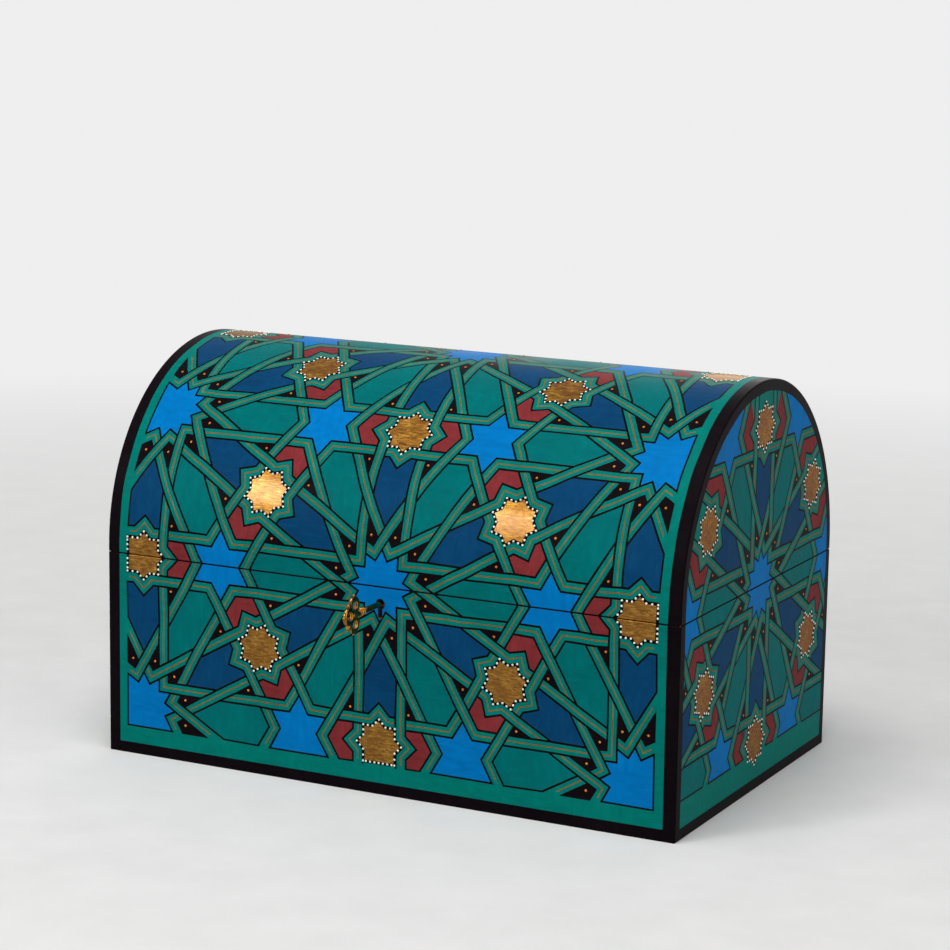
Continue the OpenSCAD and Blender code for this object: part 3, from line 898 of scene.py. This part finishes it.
class Nodes:
    """A material's nodes, with short calls for the ones used here."""

    def __init__(self, name):
        self.mat = bpy.data.materials.new(name)
        self.mat.use_nodes = True
        self.tree = self.mat.node_tree
        self.tree.nodes.clear()
        self.out = self.tree.nodes.new("ShaderNodeOutputMaterial")
        self.shader = self.tree.nodes.new("ShaderNodeBsdfPrincipled")
        self.link(self.shader.outputs[0], self.out.inputs[0])
        self.coord = self.tree.nodes.new("ShaderNodeTexCoord").outputs["Object"]

    def link(self, a, b):
        self.tree.links.new(a, b)

    def put(self, socket, value):
        """Links an output, or sets a number, vector or written colour on the socket itself."""
        if hasattr(value, "is_linked"):
            self.link(value, socket)
        elif value is not None:
            socket.default_value = rgb(value) if isinstance(value, str) else value

    def node(self, kind, **inputs):
        node = self.tree.nodes.new("ShaderNode" + kind)
        for key, value in inputs.items():
            self.put(node.inputs[key.replace("_", " ")], value)
        return node

    def scaled(self, scale, rotation=(0, 0, 0)):
        node = self.node("Mapping", Scale=scale, Rotation=rotation, Vector=self.coord)
        return node.outputs[0]

    def noise(self, scale, detail=3.0, rough=0.55, vector=None, distortion=0.0):
        values = {"Scale": scale, "Detail": detail, "Roughness": rough, "Distortion": distortion}
        return self.node("TexNoise", Vector=vector or self.coord, **values).outputs["Fac"]

    def ramp(self, value, stops):
        node = self.node("ValToRGB")
        self.put(node.inputs[0], value)
        elements = node.color_ramp.elements
        while len(elements) < len(stops):
            elements.new(0.5)
        for e, (pos, colour) in zip(elements, stops):
            e.position, e.color = pos, rgb(colour)
        return node.outputs[0]

    def mix(self, fac, a, b):
        node = self.node("Mix")
        node.data_type = "RGBA"
        for key, value in ((0, fac), (6, a), (7, b)):
            self.put(node.inputs[key], value)
        return node.outputs[2]

    def calc(self, operation, a, b):
        node = self.node("Math")
        node.operation = operation
        self.put(node.inputs[0], a)
        self.put(node.inputs[1], b)
        return node.outputs[0]

    def spread(self, value, low, high, from_low=0.3, from_high=0.7):
        ends = {"From_Min": from_low, "From_Max": from_high, "To_Min": low, "To_Max": high}
        return self.node("MapRange", Value=value, **ends).outputs[0]

    def bump(self, height, strength, distance, before=None):
        values = {"Strength": strength, "Distance": distance, "Normal": before}
        return self.node("Bump", Height=height, **values).outputs[0]

    def finish(self, colour, roughness, bump=None, **values):
        values = {"Base_Color": colour, "Roughness": roughness, "Normal": bump, **values}
        for key, value in values.items():
            self.put(self.shader.inputs[key.replace("_", " ")], value)
        return self.mat


def paint_material(name, light, mid, dark, rough=(0.38, 0.5)):
    n = Nodes(name)
    along = n.noise(420, 4, 0.6, n.scaled((0.22, 1, 1), (0, 0.1, 0)), 0.5)
    across = n.noise(340, 4, 0.6, n.scaled((1, 1, 0.25), (0, 0.15, 0)), 0.5)
    patches = n.noise(45, 3, 0.55)
    strokes = n.mix(n.spread(patches, 0, 1, 0.46, 0.54), along, across)
    both = n.mix(0.42, strokes, patches)
    colour = n.ramp(both, ((0.3, dark), (0.5, mid), (0.7, light)))
    fine = n.noise(1900, 3, 0.6)
    bump = n.bump(strokes, 0.35, 0.00012)
    bump = n.bump(fine, 0.2, 0.00003, bump)
    return n.finish(colour, n.spread(patches, *rough), bump, Specular_IOR_Level=0.015)


def gold_material():
    n = Nodes("gold_leaf")
    wrinkle = n.noise(900, 4, 0.6, n.scaled((0.3, 0.7, 1.5)), 0.7)
    grain = n.noise(2600, 3, 0.6)
    # colour from broad mottling and, mostly, the wrinkles: the broad mottling is the leaf's own
    # uneven tone, while the pale and dark tones along the wrinkles are painted glints and painted
    # shade
    leaf_tone_and_glint = n.mix(0.7, n.noise(90, 3, 0.6), wrinkle)
    colour = n.ramp(leaf_tone_and_glint, ((0.34, "603c10"), (0.5, "855819"), (0.62, "a67e32"), (0.74, "dcbc6a")))
    bump = n.bump(wrinkle, 0.5, 0.0002)
    bump = n.bump(grain, 0.4, 0.00006, bump)
    coat = {"Coat_Weight": 0.3, "Coat_Roughness": 0.15}
    rough = n.spread(wrinkle, 0.24, 0.38)
    return n.finish(colour, rough, bump, Metallic=1.0, Specular_Tint="c2a668", **coat)


def wood_material(name, light, mid, dark, axis):
    """Bare wood with its grain along one axis."""
    n = Nodes(name)

    def stretched(share):
        return n.scaled(tuple(share if i == axis else 1.0 for i in range(3)))

    grain = n.noise(520, 5, 0.65, stretched(0.06), 0.6)
    rings = n.noise(60, 3, 0.5, stretched(0.12), 1.5)
    colour = n.ramp(n.mix(0.45, rings, grain), ((0.34, dark), (0.5, mid), (0.66, light)))
    bump = n.bump(grain, 0.4, 0.0002)
    return n.finish(colour, n.spread(grain, 0.5, 0.7), bump, Specular_IOR_Level=0.35)


def metal_material(name, light, mid, dark, rough=(0.22, 0.38), scratch=0.3, coat=0.0, drawn=0.08):
    n = Nodes(name)
    tarnish = n.noise(150, 4, 0.6)
    colour = n.ramp(tarnish, ((0.34, dark), (0.5, mid), (0.66, light)))
    lines = n.noise(1500, 2, 0.5, n.scaled((1, 1, drawn)))
    bump = n.bump(lines, scratch, 0.00004)
    bump = n.bump(tarnish, 0.1, 0.0002, bump)
    values = {"Metallic": 1.0, "Coat_Weight": coat, "Coat_Roughness": 0.03}
    return n.finish(colour, n.spread(tarnish, *rough), bump, **values)


MATERIALS = [
    paint_material("ribbon_paint", "047a6f", "007067", "00665d"),
    paint_material("black_paint", "160e13", "0f090d", "0a0609", rough=(0.3, 0.42)),
    paint_material("line_paint", "96600f", "80500a", "6a4006"),
    paint_material("star_paint", "0078c0", "006db1", "0062a2"),
    paint_material("petal_blue_paint", "0a446e", "073c63", "053458"),
    paint_material("petal_teal_paint", "006e6e", "006465", "005a5c"),
    paint_material("red_paint", "863236", "772b2e", "682527"),
    gold_material(),
]
WHITE_DOT = paint_material("white_dot_paint", "f6f2e8", "ece7da", "d8d0c0")
GOLD_DOT = paint_material("gold_dot_paint", "dc9440", "c67c2e", "9c5c1e")
WOOD_X = wood_material("wood_along", "9a6238", "7a4826", "553018", 0)
WOOD_Y = wood_material("wood_across", "946038", "744526", "502d17", 1)
BRASS = metal_material("brass_sheet", "d9b464", "c49c4c", "a37d38")
KEY_BRASS = metal_material(
    "key_cast_brass", "c48c2e", "966618", "4e310b", (0.07, 0.15), scratch=0.08, coat=0.4, drawn=1.0
)
STEEL = metal_material("drawn_steel", "b4b4b6", "98989b", "6c6c70")


# ---- painted skins
KEY_Z, KEYHOLE_R, KEYHOLE_SLOT, KEYHOLE_LOW = 97.5, 2.6, 2.4, 7.5
HINGE_X, HINGE_HALF, LEAF_LOW, LEAF_HIGH = 95.0, 16.05, 104.55, 107.45
CUT_DEPTH = 3.0  # cutters reach this far to both sides of a board's face
CUT_PAST = 2.2  # and this far past the edge at the seam


def keyhole_cutter(steps=32):
    """A round hole with a slot below it, through the front's skin."""
    r, w = KEYHOLE_R, KEYHOLE_SLOT / 2
    start = math.degrees(math.asin(w / r))
    turns = (-90 + start + (360 - 2 * start) * i / steps for i in range(steps + 1))
    outline = [r * unit(a) for a in turns] + [xy(-w, -KEYHOLE_LOW), xy(w, -KEYHOLE_LOW)]
    bm = bmesh.new()
    front, back = (
        [bm.verts.new((x * MM, y * MM, (KEY_Z + z) * MM)) for x, z in outline]
        for y in (-HALF_Y - CUT_DEPTH, -HALF_Y + CUT_DEPTH)
    )
    bm.faces.new(front)
    bm.faces.new(back[::-1])
    for i in range(len(front)):
        j = (i + 1) % len(front)
        bm.faces.new((front[j], front[i], back[i], back[j]))
    bmesh.ops.recalc_face_normals(bm, faces=bm.faces[:])
    return solid("keyhole_cut", bm)


def leaf_cutters(tag, z0, z1):
    y0, y1 = HALF_Y - CUT_DEPTH, HALF_Y + CUT_DEPTH
    out = []
    for k, x in enumerate((-HINGE_X, HINGE_X)):
        low, high = (x - HINGE_HALF, y0, z0), (x + HINGE_HALF, y1, z1)
        out.append(cutter(f"{tag}_leaf_cut_{k}", low, high))
    return out


base_cutters = [keyhole_cutter()] + leaf_cutters("base", LEAF_LOW, BASE_TOP + CUT_PAST)
skin_object("base_paint", make_base_skin(), "base", base_cutters)
lid_cutters = leaf_cutters("lid", LID_BOTTOM - CUT_PAST, LEAF_HIGH)
skin_object("lid_paint", make_lid_skin(), "lid", lid_cutters)


# ---- raised dots
WHITE_R, GOLD_DOT_R = 0.6, 0.66
DOT_SIDES, DOT_ROWS = 10, 3
DOT_ROOT = 0.15  # how deep a dot's underside lies in the skin
EDGE_ROOM = 1.0  # dots keep this far from the edges of the field and the seam
FLAT_DOTS = (-0.82, -0.55, -0.27, 0, 0.27, 0.55, 0.82)  # along a cut star's flat side
KITE_R = 26.0  # from a twelve-fold star to the gold dots round it
TRIANGLE = (17.0, 16.5)  # from a gold star to the gold dots beside it, along and across


def dot_mesh(name, spots, radius, height, material):
    """Small closed domes at (place, outward direction), in one mesh."""
    verts, faces = [], []
    for p, n in spots:
        p, n = Vector(p), Vector(n)
        a = n.orthogonal().normalized()
        b = n.cross(a)
        base = len(verts)
        verts.append(p - n * DOT_ROOT)
        for r in range(DOT_ROWS):
            t = math.radians(90 * r / DOT_ROWS)
            rr, hh = radius * math.cos(t), height * math.sin(t)
            for s in range(DOT_SIDES):
                u = math.tau * s / DOT_SIDES
                verts.append(p + a * (rr * math.cos(u)) + b * (rr * math.sin(u)) + n * hh)
        verts.append(p + n * height)
        rings = [base + 1 + r * DOT_SIDES for r in range(DOT_ROWS)]
        for s in range(DOT_SIDES):
            s1 = (s + 1) % DOT_SIDES
            faces.append((base, rings[0] + s1, rings[0] + s))
            for i, j in zip(rings, rings[1:]):
                faces.append((i + s, i + s1, j + s1, j + s))
            faces.append((rings[-1] + s, rings[-1] + s1, len(verts) - 1))
    mesh = bpy.data.meshes.new(name)
    mesh.from_pydata([v * MM for v in verts], [], faces)
    smooth(mesh)
    mesh.materials.append(material)
    mesh.update()
    return mesh


def dot_spots(low, high, cut=()):
    """White dots round each gold star and gold dots in the black kites and triangles."""
    white, gold = [], []
    cut = {tuple(np.round(m, 2)): outward for m, outward in cut}
    for m, along in middles(low, high):
        outward = cut.get(tuple(np.round(m, 2)))
        if outward is None:
            corners = star8(m, DOT_R, along)
        else:
            flat = m + outward * DOT_R * CUT_STRETCH
            white += [flat + left(outward) * DOT_R * b for b in FLAT_DOTS]
            corners = cut_star(m, DOT_R, outward)[1:-1]
        white += corners
        after = corners[1:] + (corners[:1] if outward is None else [])
        white += [(c + d) / 2 for c, d in zip(corners, after)]
        for s in (1, -1):
            for q in (1, -1):
                gold.append(m + along * (TRIANGLE[0] * s) + left(along) * (TRIANGLE[1] * q))
    for o in lattice(low, high, 20):
        gold += [o + unit(deg) * KITE_R for deg in range(15, 375, 30)]
    return white, gold


def place_long(points, v_low, v_high):
    out = []
    low, high = max(v_low, FIELD_V) + EDGE_ROOM, min(v_high, SHEET_V - FIELD_V) - EDGE_ROOM
    for u, v in (p + ORIGIN for p in points):
        if abs(u) > FIELD_U - WHITE_R or not low < v < high:
            continue
        here = sheet_point(u, v)
        out.append((here, sheet_point(u, v, 1.0) - here))
    return out


def place_end(points, z_low, z_high):
    out = []
    for s in (1, -1):
        for y, z in (p + ORIGIN for p in points):
            inset = arch_inset(xy(y, z)[None], END_R)[0]
            if inset >= EDGE_ROOM and z_low + EDGE_ROOM < z < z_high:
                out.append(((s * (CORE_X + ARRIS), s * y, z), (s, 0, 0)))
    return out


def make_dots():
    low, high = xy(-CORE_X, -SEAM_Z), xy(CORE_X, SHEET_V - SEAM_Z)
    end_low, end_high = xy(-CORE_Y, -SEAM_Z), xy(CORE_Y, 110)
    white, gold = dot_spots(low, high, cut_stars())
    end_white, end_gold = dot_spots(end_low, end_high)
    strip = END_STRIP - SEAM_Z + EDGE_ROOM
    end_gold = [g for g in end_gold if np.hypot(*g) < LOOP_SIDE or strip < g[1] < 0]
    kinds = (
        ("white_dots", white, end_white, WHITE_R, 0.42, WHITE_DOT),
        ("gold_dots", gold, end_gold, GOLD_DOT_R, 0.25, GOLD_DOT),
    )
    for body in ("base", "lid"):
        for kind, spots, end_spots, radius, height, material in kinds:
            if body == "base":
                places = place_long(spots, 0, BASE_HIGH)
                places += place_long(spots, SHEET_V - BASE_HIGH, SHEET_V)
                places += place_end(end_spots, END_FOOT, BASE_HIGH - EDGE_ROOM)
            else:
                places = place_long(spots, LID_LOW, SHEET_V - LID_LOW)
                places += place_end(end_spots, LID_LOW, math.inf)
            name = f"{body}_{kind}"
            ob = add(name, dot_mesh(name, places, radius, height, material))
            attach(ob, body)


make_dots()


# ---- the key, one brass casting
BOW_Y, BOW_R = -127.0, 10.0
SHANK_R, SHANK_TO = 1.45, -90.4
BIT_LOW, BIT_HALF, BIT_FROM, BIT_TO = 5.4, 0.9, -94.45, -91.55


LOBES = (90, 180, 270)  # directions in the bow's plane, in degrees from the shank
STEM_FROM = -122.4  # the beads of the collar start here


def key_part(bm, build, place, turn=None):
    """Adds one closed form, built at the origin in millimetres, to the key."""
    before = set(bm.verts)
    build(bm)
    new = [v for v in bm.verts if v not in before]
    matrix = Matrix.Translation(Vector(place)) @ (turn or Matrix.Identity(4))
    bmesh.ops.transform(bm, matrix=matrix, verts=new)


def tube(bm, rings, closed):
    """Faces between rings of vertices; a closed tube joins its last ring to its first."""
    n = len(rings[0])
    for a, b in zip(rings, rings[1:] + rings[:1] if closed else rings[1:]):
        for k in range(n):
            j = (k + 1) % n
            bm.faces.new((a[k], b[k], b[j], a[j]))


def loop_form(major, minor, squash, around=40, sides=14):
    """A cast ring in the Y-Z plane."""

    def build(bm):
        rings = []
        for i in range(around):
            y, z = unit(360 * i / around)
            section = (unit(360 * j / sides) * minor + (major, 0) for j in range(sides))
            rings.append([bm.verts.new((squash * x, r * y, r * z)) for r, x in section])
        tube(bm, rings, True)

    return build


def bead_form(radius, flat=1.0):
    def build(bm):
        matrix = Matrix.Diagonal((flat, 1, 1, 1))
        bmesh.ops.create_uvsphere(bm, u_segments=20, v_segments=12, radius=radius, matrix=matrix)

    return build


def turned_form(profile, sides=32):
    """A form turned about Y from (place along Y, radius) pairs, closed at both ends."""

    def build(bm):
        turns = [unit(360 * k / sides) for k in range(sides)]
        rings = [[bm.verts.new((r * a, y, r * b)) for a, b in turns] for y, r in profile]
        tube(bm, rings, False)
        bm.faces.new(rings[0][::-1])
        bm.faces.new(rings[-1])

    return build


def stem_profile():
    """The neck, a collar of five beads, and the shank."""
    stem = [(BOW_Y, 1.2), (STEM_FROM - 0.8, 1.3), (STEM_FROM, 1.7)]
    y, depth = STEM_FROM, 0.55
    for radius, length in ((1.95, 1.2), (1.7, 0.6), (2.15, 1.4), (1.7, 0.6), (1.9, 0.9)):
        for deg in range(0, 181, 30):
            a = math.radians(deg)
            along = y + length * (1 - math.cos(a)) / 2
            stem.append((along, radius - depth + depth * math.sin(a)))
        y += length
    return stem + [(y + 0.1, SHANK_R), (SHANK_TO - 0.4, SHANK_R), (SHANK_TO, SHANK_R - 0.4)]


def make_key():
    casting, boss = bmesh.new(), bmesh.new()

    def in_bow(bm, build, deg, r):
        y, z = unit(deg) * r
        key_part(bm, build, (0, BOW_Y + y, KEY_Z + z))

    for deg in LOBES:
        in_bow(casting, loop_form(3.4, 1.4, 0.85), deg, 4.75)
        in_bow(casting, bead_form(0.85), deg, BOW_R - 0.55)
    for degs, r, radius in (((135, 225), 7.3, 1.35), ((45, 315), 5.6, 1.15)):
        for deg in degs:
            in_bow(casting, bead_form(radius), deg, r)
    key_part(casting, turned_form(stem_profile()), (0, 0, KEY_Z))
    size = (2 * BIT_HALF, BIT_TO - BIT_FROM, BIT_LOW)
    middle = (0, (BIT_FROM + BIT_TO) / 2, KEY_Z - BIT_LOW / 2)
    cube = partial(bmesh.ops.create_cube, size=1)
    key_part(casting, cube, middle, Matrix.Diagonal(size + (1,)))
    in_bow(boss, bead_form(2.35, 0.72), 0, 0)
    for bm in (casting, boss):
        bmesh.ops.recalc_face_normals(bm, faces=bm.faces[:])
    # the forms run into each other, and one union makes a single skin of them
    ob = solid("key_casting", casting)
    mesh = boolean(ob, "UNION", [solid("key_boss", boss)], use_self=True)
    mesh.transform(Matrix.Scale(MM, 4))
    mesh.materials.clear()
    mesh.materials.append(KEY_BRASS)
    smooth(mesh)
    mesh.set_sharp_from_angle(angle=math.radians(50))
    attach(ob, "key")
    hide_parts("key")


make_key()

# ---- materials of the CAD nodes
END_BOARDS = ("left_end_board", "right_end_board", "lid_left_end", "lid_right_end")


def cad_material(name):
    if name == "key":
        return KEY_BRASS
    if name in END_BOARDS:
        return WOOD_Y
    if name.endswith(("_board", "_shell", "_rail")):
        return WOOD_X
    if "brads" in name or name in ("lock_cap", "lock_spring"):
        return STEEL
    return BRASS


for name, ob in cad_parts.items():
    if not ob.data.materials:
        ob.data.materials.append(cad_material(name))
    for cad_slot in ob.material_slots:
        cad_slot.material = cad_material(name)

# ---- floor, light and camera
FLOOR_PALE = 0.86  # what the far floor and the world show, where 1 is white
WORLD_LIGHT = 0.3  # what the world lights the object with
GLOW_FROM, GLOW_TO = 0.35, 1.3  # metres from the box over which the floor turns plain


def show_background(n):
    """How far a ray that sees the backdrop, straight or mirrored, is to see it plain."""
    path = n.node("LightPath").outputs
    seen = n.calc("MAXIMUM", path["Is Camera Ray"], path["Is Glossy Ray"])
    return n.calc("MAXIMUM", seen, path["Is Transmission Ray"])


def floor_material():
    """Pale paper near the box, which turns into the plain background further off."""
    n = Nodes("floor_paper")
    paper = n.ramp(n.noise(30, 3), ((0.3, "d6d6d5"), (0.7, "dbdbda")))
    n.finish(paper, 0.85, Specular_IOR_Level=0.1)
    glow = n.node("Emission", Color=(FLOOR_PALE,) * 3 + (1,))
    away = n.node("VectorMath")
    away.operation = "LENGTH"
    n.link(n.coord, away.inputs[0])
    far_off = n.spread(away.outputs["Value"], 0, 1, GLOW_FROM, GLOW_TO)
    blend = n.node("MixShader")
    n.link(n.calc("MULTIPLY", far_off, show_background(n)), blend.inputs[0])
    n.link(n.shader.outputs[0], blend.inputs[1])
    n.link(glow.outputs[0], blend.inputs[2])
    n.link(blend.outputs[0], n.out.inputs[0])
    return n.mat


floor_mesh = bpy.data.meshes.new("floor")
floor_mesh.from_pydata([(-9, -9, 0), (9, -9, 0), (9, 9, 0), (-9, 9, 0)], [], [(0, 1, 2, 3)])
floor_mesh.materials.append(floor_material())
floor = add("floor", floor_mesh)

world = bpy.data.worlds.new("studio")
bpy.context.scene.world = world
world.use_nodes = True
tree = world.node_tree
sky = tree.nodes["Background"]
sky.inputs["Color"].default_value = (1, 1, 1, 1)
path = tree.nodes.new("ShaderNodeLightPath")
strength = tree.nodes.new("ShaderNodeMapRange")
strength.inputs["To Min"].default_value = FLOOR_PALE
strength.inputs["To Max"].default_value = WORLD_LIGHT
tree.links.new(path.outputs["Is Diffuse Ray"], strength.inputs["Value"])
tree.links.new(strength.outputs[0], sky.inputs["Strength"])

SOFTBOXES = (  # name, place, aim, size in metres, watts
    ("key_softbox", (-0.95, -1.6, 0.98), (0, -0.05, 0.1), 0.42, 9.5),
    ("top_softbox", (0.05, -0.6, 1.75), (0, 0, 0.1), 1.1, 25),
    ("side_softbox", (2.2, -0.5, 0.9), (0, 0, 0.1), 1.2, 7.5),
    ("back_softbox", (-0.5, 2.1, 1.0), (0, 0, 0.1), 1.2, 7),
)
for name, place, aim, size, watts in SOFTBOXES:
    light = bpy.data.lights.new(name, "AREA")
    light.shape, light.size, light.energy = "SQUARE", size, watts
    softbox = add(name, light)
    softbox.location = place
    softbox.rotation_euler = (Vector(aim) - Vector(place)).to_track_quat("-Z", "Y").to_euler()

# the camera of the photo, from a perspective fit to the box's corners
PIXELS, FOCAL, SENSOR = 950, 2906.96, 36.0  # picture width and focal length in pixels, film in mm
CAMERA_PLACE = (0.6699526, -1.3234516, 0.4296964)
YAW, PITCH_DOWN, ROLL = (math.radians(a) for a in (26.8347, 10.8372, 0.9085))
camera_data = bpy.data.cameras.new("camera")
camera_data.sensor_width = SENSOR
camera_data.lens = SENSOR * FOCAL / PIXELS
camera_data.clip_start, camera_data.clip_end = 0.05, 30
camera = add("camera", camera_data)
flat = math.cos(PITCH_DOWN)
forward = Vector((-math.sin(YAW) * flat, math.cos(YAW) * flat, -math.sin(PITCH_DOWN)))
right = Vector((math.cos(YAW), math.sin(YAW), 0))
up = right.cross(forward)
c, s = math.cos(ROLL), math.sin(ROLL)
right, up = right * c + up * s, up * c - right * s
turn = Matrix((right, up, -forward)).transposed().to_4x4()
camera.matrix_world = Matrix.Translation(Vector(CAMERA_PLACE)) @ turn
bpy.context.scene.camera = camera
bpy.context.scene.view_settings.view_transform = "Standard"
